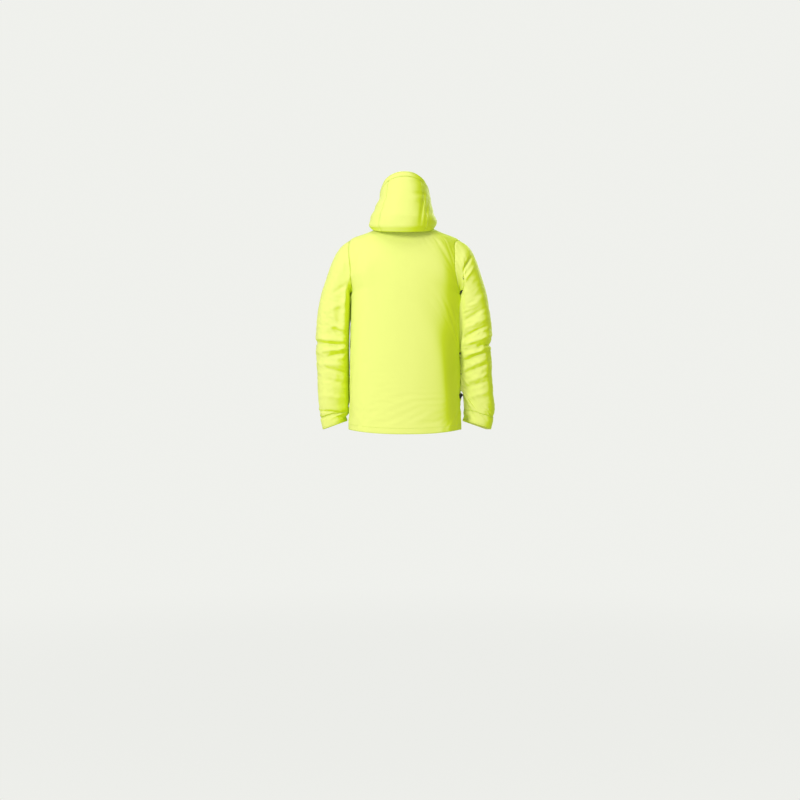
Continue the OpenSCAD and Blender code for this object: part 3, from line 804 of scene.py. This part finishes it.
def collar_place(a, b):
    j = 15 + b / 4
    p = body_point(a / 3, j)
    inner = math.sin(math.pi * b / 12)
    out = Vector((p.x, p.y + 85, 0)).normalized()
    hold = smooth((abs(p.x) - 14) / 26) if p.y < -120 else 1
    p += out * hold * (1.6 * inner + 1.6 * noise.noise(p / 34 + SEED) * inner)
    return p * MM


bm = bmesh.new()
bm.faces.layers.int.new("panel")
rolled_grid(bm, COLS, 12, collar_place, lambda a, b: 0, lambda a, b: (a * 0.004, b * 0.005),
            lambda a, b: True)
bmesh.ops.recalc_face_normals(bm, faces=bm.faces[:])
collar = make_object(bm, "collar")
face_outwards(collar, -0.085)
collar_cloth = panel_piece(collar, {0}, "cloth_collar", thick=1.8)
ride(collar_cloth, "jacket", "shell_cloth", "collar_shell")
collar_inner = panel_piece(collar, {0}, "lining_collar", thick=1.2, inward=3.2)
ride(collar_inner, "jacket", "lining_cloth", "collar_lining")

# %% [markdown]
# ## Linings and inner pieces
# The lining follows the outer cloth a few millimetres inside it. The small soft pieces inside the
# jacket (powder skirt, facings, flaps, bags) are the cut shapes made supple: rounded, and given the
# slight waves of sewn cloth.

# %% Linings and soft inner pieces
def shell_tree(numbers):
    """Search tree of some panels only, so that a sleeve's lining never meets the body's cloth."""
    bm = surface_of(garment)
    layer = bm.faces.layers.int["panel"]
    bmesh.ops.delete(bm, geom=[f for f in bm.faces if f[layer] not in numbers], context="FACES")
    tree = BVHTree.FromBMesh(bm)
    bm.free()
    return tree


def keep_inside(obj, tree, least=4.5):
    """Draws a lining back wherever a fold of the shell would let it show through."""
    for _ in range(3):
        for v in obj.data.vertices:
            spot, n, _, _ = tree.find_nearest(v.co)
            if (v.co - spot).dot(n) > -least * MM:
                v.co = spot - n * least * MM
    return obj


lining_body = panel_piece(garment, {0, 1, 2}, "lining_body", thick=0.8, detail=0, inward=6.5)
ride(lining_body, "jacket", "lining_cloth", "body_lining")
lining_left = panel_piece(garment, {3, 5}, "lining_sleeve_left", thick=0.8, detail=0, inward=6.5)
ride(lining_left, "jacket", "lining_cloth", "sleeve_lining_left")
lining_right = panel_piece(garment, {4, 6}, "lining_sleeve_right", thick=0.8, detail=0, inward=6.5)
ride(lining_right, "jacket", "lining_cloth", "sleeve_lining_right")


def supple(node, body, slot, wave=0.6, scale=30.0, grid=14.0):
    """A cut piece made supple: divided finely enough to bend, waved, and given soft edges."""
    bm = bmesh.new()
    bm.from_mesh(NODES[node].data)
    bmesh.ops.remove_doubles(bm, verts=bm.verts[:], dist=0.00002)
    low = [min(v.co[k] for v in bm.verts) for k in range(3)]
    high = [max(v.co[k] for v in bm.verts) for k in range(3)]
    for k in range(3):
        cuts = int((high[k] - low[k]) / (grid * MM))
        way = Vector([1.0 if k == n else 0.0 for n in range(3)])
        for c in range(1, cuts):
            bmesh.ops.bisect_plane(bm, geom=bm.verts[:] + bm.edges[:] + bm.faces[:], dist=1e-6,
                                   plane_co=way * mix(low[k], high[k], c / cuts), plane_no=way)
    for v in bm.verts:
        if body == "jacket" and abs(v.co.x) < 0.21:
            v.co = hang(v.co / MM, False) * MM
        v.co.y += noise.noise(v.co / MM / scale + SEED) * wave * MM
    obj = make_object(bm, "soft_" + node)
    edge = obj.modifiers.new("soft_edge", "BEVEL")
    edge.width, edge.segments = 0.3 * MM, 2
    edge.limit_method, edge.angle_limit = "ANGLE", math.radians(50)
    return ride(obj, body, slot, node)


SKIRT_DEPTH, BAG_DEPTH = 5.0, 3.0
body_tree = shell_tree({0, 1, 2})
keep_inside(lining_body, body_tree)
keep_inside(lining_left, shell_tree({3, 5}))
keep_inside(lining_right, shell_tree({4, 6}))
soft = [supple("powder_skirt", "jacket", "lining_cloth", 1.0, 24, 9),
        supple("skirt_grip_band", "jacket", "moulded_rubber", 1.0, 24, 9),
        supple("hem_facing", "jacket", "shell_cloth", 0.3, 20),
        supple("wind_flap", "jacket", "shell_cloth", 0.4, 26, 9),
        supple("chin_guard", "jacket", "fleece", 0.2, 10, 4),
        supple("hand_bag_left", "jacket", "lining_cloth", 0.5, 20),
        supple("hand_bag_right", "jacket", "lining_cloth", 0.5, 20),
        supple("chest_bag", "jacket", "lining_cloth", 0.5, 20),
        supple("cuff_tab_left", "tab_left", "shell_cloth", 0.2, 18, 6),
        supple("cuff_tab_right", "tab_right", "shell_cloth", 0.2, 18, 6),
        supple("cuff_loop_patches", "jacket", "hook_loop", 0.1, 12, 6),
        supple("hanger_loop", "jacket", "zip_tape", 0.1, 10, 3)]
for part in soft:
    if part.name in ("soft_powder_skirt", "soft_skirt_grip_band"):
        keep_inside(part, body_tree, SKIRT_DEPTH)
    elif part.name.startswith(("soft_hand_bag", "soft_chest_bag")):
        keep_inside(part, body_tree, BAG_DEPTH)
print("soft pieces:", {o.name: len(o.data.polygons) for o in soft})

# %% [markdown]
# ## Stitching
# Seams of a shell jacket are sewn at about three stitches to the centimetre and topstitched a few
# millimetres beside the seam. Each stitch is a short rounded bar of thread that lies on the cloth.

# %% One line of stitches


def tree_of(objects):
    trees = []
    for o in objects:
        bm = surface_of(o)
        trees.append(BVHTree.FromBMesh(bm))
        bm.free()
    return trees


def on_cloth(trees, p):
    best = None
    for t in trees:
        hit = t.find_nearest(p)
        if hit[0] is not None and (best is None or hit[3] < best[3]):
            best = hit
    return best[0], best[1]


def thread_line(points, trees, aside, name_bm, step=3.4, length=2.5, r=0.32):
    """Stitches along a seam line, aside mm beside it, laid on the cloth."""
    along, walked, todo = [], 0.0, 1.7
    for a, b in zip(points, points[1:]):
        d = (b - a).length / MM
        while todo <= walked + d and d > 0:
            t = (todo - walked) / d
            along.append((a.lerp(b, t), (b - a).normalized()))
            todo += step
        walked += d
    for p, way in along:
        spot, up = on_cloth(trees, p)
        cross = up.cross(way)
        if cross.length < 1e-6:
            continue
        q, n = on_cloth(trees, spot + cross.normalized() * aside * MM)
        x = (way - n * way.dot(n)).normalized()
        y = n.cross(x)
        made = bmesh.ops.create_cone(name_bm, cap_ends=True, segments=5, radius1=r * MM,
                                     radius2=r * MM, depth=length * MM)
        for v in made["verts"]:
            c = v.co
            bow = 1 - (c.z / (length * MM / 2)) ** 2
            v.co = q + n * (0.12 * MM + r * MM * (0.1 + 0.6 * bow)) + x * c.z + y * c.x + n * c.y


# %% Sew the topstitching


def sew(name, body, trees, jobs):
    bm = bmesh.new()
    for points, aside in jobs:
        thread_line(points, trees, aside, bm)
    obj = make_object(bm, name)
    ride(obj, body, "shell_cloth")
    return obj


def hem_ring(j, part=(0, COLS)):
    return [hang(body_point(a / 3, j), False) * MM for a in range(part[0], part[1] + 1)]


cloth_tree = tree_of([garment])
hood_tree = tree_of([hood])
CUFF_SEAMS, BESIDE, BESIDE_CUFF = ((5, 7), (6, 8)), 3.2, 1.6
jobs = [(c, BESIDE) for pair, chains in seam_lines.items() if pair not in CUFF_SEAMS
        for c in chains]
jobs += [(c, s) for pair in CUFF_SEAMS for c in seam_lines[pair]
         for s in (-BESIDE_CUFF, BESIDE_CUFF)]
jobs += [(hem_ring(1.0), 0.0), (hem_ring(0.12), 0.0)]
for side in (1, -1):
    ring = []
    for k in range(RING + 1):
        p = sleeve_cloth(CUFF_STITCH_F, (k % RING) / 3)
        ring.append(hang(Vector((side * p.x, p.y, p.z)), True) * MM)
    jobs.append((ring, 0.0))
threads = [sew("thread_jacket", "jacket", cloth_tree, jobs)]
edge_line = [hood_place(a, HOOD_ROWS - 0.5) for a in range(HOOD_COLS + 1)]
threads.append(sew("thread_hood", "hood", hood_tree,
                   [(c, 1.6) for c in hood_seams] + [(edge_line, 0.0)]))
for o in (garment, hood, collar):
    bpy.data.objects.remove(o)
print("threads:", [len(o.data.polygons) for o in threads])

# %% [markdown]
# ## Materials
# The shell is a tight plain weave with a dull water-repellent coating, in a fluorescent lime. Its
# colour is painted paler, almost white-yellow, where the cloth faces the key light: a painted
# highlight. Folds turned away from that light keep the deep, saturated lime. Rigid trim is moulded
# plastic and lacquered zinc.

# %% Material helpers


def material(name, colour, rough, metal=0.0, sheen=0.0, spec=0.5):
    mat = bpy.data.materials.new(name)
    mat.use_nodes = True
    nodes, links = mat.node_tree.nodes, mat.node_tree.links
    bsdf = nodes["Principled BSDF"]
    bsdf.inputs["Metallic"].default_value = metal
    bsdf.inputs["Sheen Weight"].default_value = sheen
    bsdf.inputs["Specular IOR Level"].default_value = spec
    return mat, nodes, links, bsdf


def texture(nodes, links, kind, scale, where="Object", **kw):
    coords = nodes.new("ShaderNodeTexCoord")
    tex = nodes.new(kind)
    tex.inputs["Scale"].default_value = scale
    for key, value in kw.items():
        if key in tex.inputs:
            tex.inputs[key].default_value = value
        else:
            setattr(tex, key, value)
    links.new(coords.outputs[where], tex.inputs["Vector"])
    return tex


def ramp(nodes, links, source, low, high, at=(0.3, 0.7)):
    r = nodes.new("ShaderNodeValToRGB")
    r.color_ramp.elements[0].position, r.color_ramp.elements[1].position = at
    r.color_ramp.elements[0].color = (*low, 1) if len(low) == 3 else low
    r.color_ramp.elements[1].color = (*high, 1) if len(high) == 3 else high
    links.new(source, r.inputs["Fac"])
    return r


def spread(nodes, links, source, low, high):
    m = nodes.new("ShaderNodeMapRange")
    m.inputs["To Min"].default_value, m.inputs["To Max"].default_value = low, high
    links.new(source, m.inputs["Value"])
    return m


def bump(nodes, links, bsdf, layers):
    """Stacks (height output, distance in mm, strength) layers into one normal."""
    last = None
    for source, depth, strength in layers:
        b = nodes.new("ShaderNodeBump")
        b.inputs["Distance"].default_value = depth * MM
        b.inputs["Strength"].default_value = strength
        links.new(source, b.inputs["Height"])
        if last:
            links.new(last.outputs["Normal"], b.inputs["Normal"])
        last = b
    links.new(last.outputs["Normal"], bsdf.inputs["Normal"])


def cloth_material(name, low, high, rough, weave=2600.0, sheen=0.3, where="UV", spec=0.3,
                   rumple=0.5):
    mat, nodes, links, bsdf = material(name, high, rough, sheen=sheen, spec=spec)
    big = texture(nodes, links, "ShaderNodeTexNoise", 9.0, Detail=3.0)
    links.new(ramp(nodes, links, big.outputs["Fac"], low, high).outputs["Color"],
              bsdf.inputs["Base Color"])
    grain = texture(nodes, links, "ShaderNodeTexNoise", 420.0, Detail=2.0)
    uneven = spread(nodes, links, grain.outputs["Fac"], rough - 0.06, rough + 0.08)
    links.new(uneven.outputs["Result"], bsdf.inputs["Roughness"])
    warp = texture(nodes, links, "ShaderNodeTexWave", weave, where, wave_type="BANDS",
                   bands_direction="X", Distortion=0.6, Detail=1.0)
    weft = texture(nodes, links, "ShaderNodeTexWave", weave, where, wave_type="BANDS",
                   bands_direction="Y", Distortion=0.6, Detail=1.0)
    folds = texture(nodes, links, "ShaderNodeTexNoise", 46.0, Detail=4.0)
    bump(nodes, links, bsdf, [(folds.outputs["Fac"], 1.2, rumple),
                              (warp.outputs["Fac"], 0.08, 0.25),
                              (weft.outputs["Fac"], 0.08, 0.25)])
    return mat


def hard_material(name, low, high, rough, metal=0.0, grain=900.0):
    mat, nodes, links, bsdf = material(name, high, rough, metal=metal)
    tone = texture(nodes, links, "ShaderNodeTexNoise", 60.0, Detail=3.0)
    links.new(ramp(nodes, links, tone.outputs["Fac"], low, high).outputs["Color"],
              bsdf.inputs["Base Color"])
    fine = texture(nodes, links, "ShaderNodeTexNoise", grain, Detail=3.0)
    uneven = spread(nodes, links, fine.outputs["Fac"], rough - 0.08, rough + 0.1)
    links.new(uneven.outputs["Result"], bsdf.inputs["Roughness"])
    bump(nodes, links, bsdf, [(fine.outputs["Fac"], 0.06, 0.3)])
    return mat


# %% The shell's finish
LIME_LOW, LIME_HIGH = (0.64, 0.79, 0.006), (0.68, 0.82, 0.010)
# Painted highlight: a pale copy of the lime, mixed in where the cloth faces the key light, starting
# at the first facing value and complete at the second.
LIME_PAINTED_LIT, PAINTED_LIT_FROM, PAINTED_LIT_FULL = (0.79, 0.85, 0.20), 0.26, 0.80
KEY_PLACE, KEY_AIM = Vector((2.9, 4.3, 1.5)), Vector((0, 0, -0.35))
shell = cloth_material("shell_cloth", LIME_LOW, LIME_HIGH, 0.55, sheen=0.06, spec=0.16, rumple=0.5)
shell.node_tree.nodes["Principled BSDF"].inputs["Sheen Roughness"].default_value = 0.6


def paint_key_highlight(mat, painted_lit, towards):
    """Paints a highlight: pales the cloth's colour where it faces the key light."""
    nodes, links = mat.node_tree.nodes, mat.node_tree.links
    colour = nodes["Principled BSDF"].inputs["Base Color"]
    lit = nodes.new("ShaderNodeVectorMath")
    lit.operation = "DOT_PRODUCT"
    links.new(nodes.new("ShaderNodeNewGeometry").outputs["Normal"], lit.inputs[0])
    lit.inputs[1].default_value = towards
    share = nodes.new("ShaderNodeMapRange")
    share.interpolation_type = "SMOOTHSTEP"
    share.inputs["From Min"].default_value = PAINTED_LIT_FROM
    share.inputs["From Max"].default_value = PAINTED_LIT_FULL
    links.new(lit.outputs["Value"], share.inputs["Value"])
    both = nodes.new("ShaderNodeMix")
    both.data_type = "RGBA"
    links.new(share.outputs["Result"], both.inputs["Factor"])
    links.new(colour.links[0].from_socket, both.inputs[6])
    both.inputs[7].default_value = (*painted_lit, 1)
    links.new(both.outputs[2], colour)


# Painted light: the shell's colour pales towards the lit copy as its normal turns to the key lamp's
# direction.
paint_key_highlight(shell, LIME_PAINTED_LIT, (KEY_PLACE - KEY_AIM).normalized())
print("shell nodes:", len(shell.node_tree.nodes))

# %% The other finishes
thread = cloth_material("shell_thread", (0.50, 0.66, 0.01), (0.6, 0.76, 0.012), 0.5, where="Object")
lining = cloth_material("lining_cloth", (0.012, 0.013, 0.015), (0.024, 0.025, 0.028), 0.45,
                        sheen=0.1, where="Object")
fleece = cloth_material("fleece", (0.02, 0.02, 0.022), (0.04, 0.04, 0.043), 0.9, sheen=0.8,
                        where="Object", weave=900)
hook = cloth_material("hook_loop", (0.01, 0.01, 0.011), (0.03, 0.03, 0.032), 0.85, sheen=0.5,
                      where="Object", weave=1400)
tape = cloth_material("zip_tape", (0.008, 0.008, 0.009), (0.018, 0.018, 0.02), 0.7, sheen=0.2,
                      where="Object", weave=1800)
rubber = hard_material("moulded_rubber", (0.01, 0.01, 0.011), (0.02, 0.02, 0.021), 0.7)
plastic = hard_material("black_plastic", (0.009, 0.009, 0.01), (0.018, 0.018, 0.02), 0.42)
zinc = hard_material("zip_metal", (0.17, 0.17, 0.18), (0.28, 0.28, 0.29), 0.36, metal=1.0)
FINISH = {"shell_cloth": shell, "lining_cloth": lining, "fleece": fleece, "hook_loop": hook,
          "zip_tape": tape, "moulded_rubber": rubber, "black_plastic": plastic, "zip_metal": zinc}
SLOT_OF = {s["node"]: s["material_slot"] for s in frame["record"]["subparts"]}


def dress(obj, mat):
    obj.data.materials.clear()
    obj.data.materials.append(mat)


for o in shell_pieces + hood_pieces + [collar_cloth, gusset]:
    dress(o, shell)
for o in (lining_body, lining_left, lining_right, hood_inside, collar_inner):
    dress(o, lining)
for o in soft:
    dress(o, FINISH[SLOT_OF[o.name[5:]]])
for o in threads:
    dress(o, thread)

# %% [markdown]
# ## Rigid trim
# Teeth, sliders, pulls, snaps and cord locks are the CAD's own solids. A fine bevel takes the
# knife edge off each one, as moulding and tumbling do.

# %% Finish the rigid trim
replaced = set(NAMES) | {o.name[5:] for o in soft} | {
    "hood_centre_panel", "hood_side_left", "hood_side_right", "hood_brim", "hood_lining",
    "collar_shell", "collar_lining", "body_lining", "sleeve_lining_left", "sleeve_lining_right"}
for name, obj in NODES.items():
    if name in replaced:
        continue
    dress(obj, FINISH[SLOT_OF[name]])
    if name != "front_zip_tapes":
        edge = obj.modifiers.new("edge", "BEVEL")
        edge.width = (0.15 if "teeth" in name else 0.3) * MM
        edge.segments = 1 if "teeth" in name else 2
        edge.limit_method = "ANGLE"
        edge.angle_limit = math.radians(40)

# %% [markdown]
# ## Studio
# A pale floor that fades into an even backdrop, a broad key light from the left of the camera, and
# a bright even room. The camera stands behind the jacket, level with the wearer's hips.

# %% The room
scene = bpy.context.scene
scene.view_settings.view_transform = "Standard"
BACKDROP = (0.868, 0.876, 0.842, 1)
world = bpy.data.worlds.new("studio")
world.use_nodes = True
wn, wl = world.node_tree.nodes, world.node_tree.links
back_light = wn["Background"]
back_light.inputs["Color"].default_value = (0.96, 0.98, 1.0, 1)
back_light.inputs["Strength"].default_value = 0.54
show = wn.new("ShaderNodeBackground")
show.inputs["Color"].default_value = BACKDROP
show.inputs["Strength"].default_value = 1.0
path, both = wn.new("ShaderNodeLightPath"), wn.new("ShaderNodeMixShader")
wl.new(path.outputs["Is Camera Ray"], both.inputs["Fac"])
wl.new(back_light.outputs["Background"], both.inputs[1])
wl.new(show.outputs["Background"], both.inputs[2])
wl.new(both.outputs["Shader"], wn["World Output"].inputs["Surface"])
scene.world = world
print("room light:", round(back_light.inputs["Strength"].default_value, 2))

# %% The floor
FLOOR_Z, FLOOR_HALF = -1.624, 6
bm = bmesh.new()
bmesh.ops.create_grid(bm, x_segments=1, y_segments=1, size=FLOOR_HALF)
for v in bm.verts:
    v.co.z = FLOOR_Z
floor = make_object(bm, "studio_floor")
fmat, fnodes, flinks, fbsdf = material("floor_paint", None, 0.8, spec=0.2)
ftone = texture(fnodes, flinks, "ShaderNodeTexNoise", 1.5, Detail=2.0)
fpaint = ramp(fnodes, flinks, ftone.outputs["Fac"], (0.80, 0.80, 0.79), (0.84, 0.84, 0.83))
flinks.new(fpaint.outputs["Color"], fbsdf.inputs["Base Color"])
fbsdf.inputs["Roughness"].default_value = 0.8
reach = fnodes.new("ShaderNodeVectorMath")
reach.operation = "LENGTH"
flinks.new(fnodes.new("ShaderNodeTexCoord").outputs["Object"], reach.inputs[0])
fade = fnodes.new("ShaderNodeMapRange")
fade.interpolation_type = "SMOOTHSTEP"
fade.inputs["From Min"].default_value, fade.inputs["From Max"].default_value = 1.7, 3.6
fade.inputs["To Min"].default_value, fade.inputs["To Max"].default_value = 0.965, 1.0
flinks.new(reach.outputs["Value"], fade.inputs["Value"])
glow, seen = fnodes.new("ShaderNodeEmission"), fnodes.new("ShaderNodeLightPath")
glow.inputs["Color"].default_value = BACKDROP
flinks.new(fade.outputs["Result"], glow.inputs["Strength"])
merge = fnodes.new("ShaderNodeMixShader")
flinks.new(seen.outputs["Is Camera Ray"], merge.inputs["Fac"])
flinks.new(fbsdf.outputs["BSDF"], merge.inputs[1])
flinks.new(glow.outputs["Emission"], merge.inputs[2])
flinks.new(merge.outputs["Shader"], fnodes["Material Output"].inputs["Surface"])
floor.data.materials.append(fmat)
print("floor at", FLOOR_Z, "m")

# %% The lights


def lamp(name, place, aim, size, power, colour=(1, 1, 1)):
    data = bpy.data.lights.new(name, "AREA")
    data.shape = "RECTANGLE"
    data.size, data.size_y = size
    data.energy = power
    data.color = colour
    obj = bpy.data.objects.new(name, data)
    scene.collection.objects.link(obj)
    obj.location = place
    obj.rotation_euler = (Vector(aim) - Vector(place)).to_track_quat("-Z", "Y").to_euler()
    return obj


lamp("key_light", KEY_PLACE, KEY_AIM, (1.0, 1.4), 148)
lamp("top_light", (0.6, 1.6, 3.2), (0, 0, -0.3), (2.0, 2.0), 40)
lamp("front_light", (-2.0, -3.4, 1.2), (0, 0, -0.3), (2.0, 2.0), 60)

# %% The camera
LENS_MM, CAMERA_PLACE = 77, (0.0175, 6.0, -0.637)
camera_data = bpy.data.cameras.new("camera")
camera_data.sensor_width = 36
camera_data.lens = LENS_MM
camera = bpy.data.objects.new("camera", camera_data)
scene.collection.objects.link(camera)
camera.location = CAMERA_PLACE
camera.rotation_euler = (math.radians(90), 0, math.radians(180))
scene.camera = camera
print("camera at", CAMERA_PLACE)
